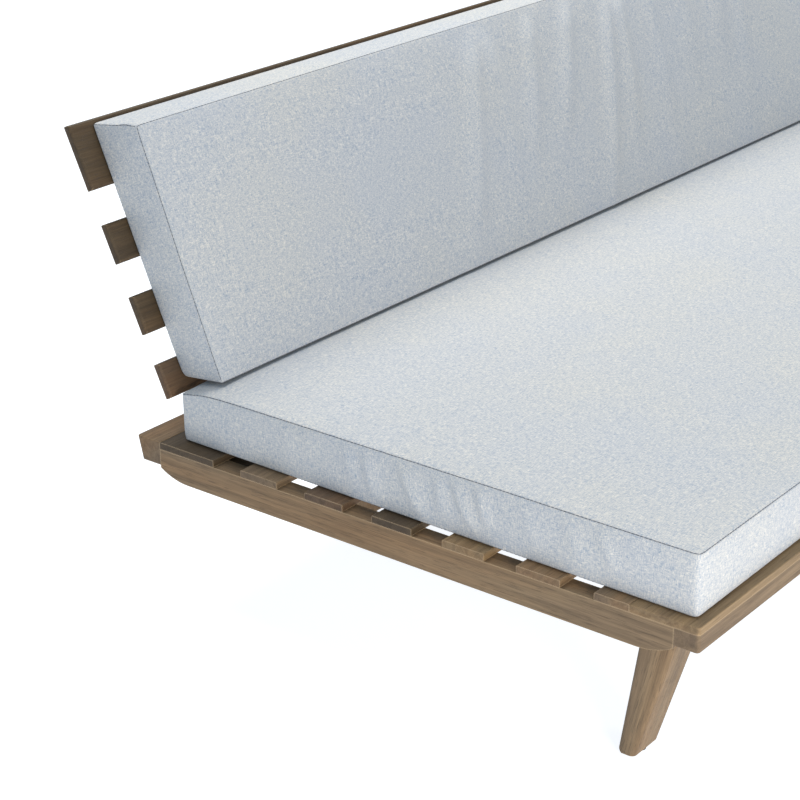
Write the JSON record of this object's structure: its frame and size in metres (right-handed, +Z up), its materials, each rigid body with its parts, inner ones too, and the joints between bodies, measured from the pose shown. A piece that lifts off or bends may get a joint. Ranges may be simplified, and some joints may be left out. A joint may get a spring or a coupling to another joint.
{
  "type": "slatted wooden daybed",
  "caption": "Low slatted hardwood daybed with tapered legs, a raked slatted back, and loose box cushions for seat and back.",
  "frame": {"origin": "on the floor under the middle of the overall box", "axes": "+X along the length to the right seen from the front, +Y from the open front towards the back, +Z up"},
  "size_m": [1.95, 1.0566, 0.6496],
  "materials": {
    "frame_wood": "oiled grey-brown hardwood, satin to matt",
    "dowel_wood": "plain beech",
    "cushion_fabric": "heathered blue-grey woven cover, matt",
    "foam": "open-cell foam",
    "steel": "zinc plated",
    "glide_plastic": "moulded nylon"
  },
  "bodies": {
    "frame": {"back_post_centre": "frame_wood", "back_post_left": "frame_wood", "back_post_right": "frame_wood", "back_slat_bottom": "frame_wood", "back_slat_lower": "frame_wood", "back_slat_screws": "steel", "back_slat_top": "frame_wood", "back_slat_upper": "frame_wood", "bearer_centre": "frame_wood", "bearer_far_left": "frame_wood", "bearer_far_right": "frame_wood", "bearer_left": "frame_wood", "bearer_right": "frame_wood", "bolt_washers": "steel", "corner_block_left": "frame_wood", "corner_block_right": "frame_wood", "end_rail_left": "frame_wood", "end_rail_right": "frame_wood", "foot_glides": "glide_plastic", "frame_bolts": "steel", "front_edge_board": "frame_wood", "front_inner_slat": "frame_wood", "front_leg_centre": "frame_wood", "front_leg_left": "frame_wood", "front_leg_right": "frame_wood", "front_rail": "frame_wood", "rail_dowels": "dowel_wood", "rear_leg_centre": "frame_wood", "rear_leg_left": "frame_wood", "rear_leg_right": "frame_wood", "rear_rail": "frame_wood", "rear_seat_slat": "frame_wood", "seat_slat_1": "frame_wood", "seat_slat_2": "frame_wood", "seat_slat_3": "frame_wood", "seat_slat_4": "frame_wood", "seat_slat_5": "frame_wood", "seat_slat_screws": "steel", "threaded_inserts": "steel"},
    "seat_cushion": {"seat_cushion_cover": "cushion_fabric", "seat_cushion_foam": "foam"},
    "back_cushion": {"back_cushion_cover": "cushion_fabric", "back_cushion_foam": "foam"}
  },
  "joints": [
    {"name": "seat_cushion_lift", "type": "slide", "parent": "frame", "child": "seat_cushion", "axis": [0, 0, 1], "range_m": [0, 0.4]},
    {"name": "back_cushion_lift", "type": "slide", "parent": "seat_cushion", "child": "back_cushion", "axis": [0, 0.4226, 0.9063], "range_m": [0, 0.35]}
  ]
}
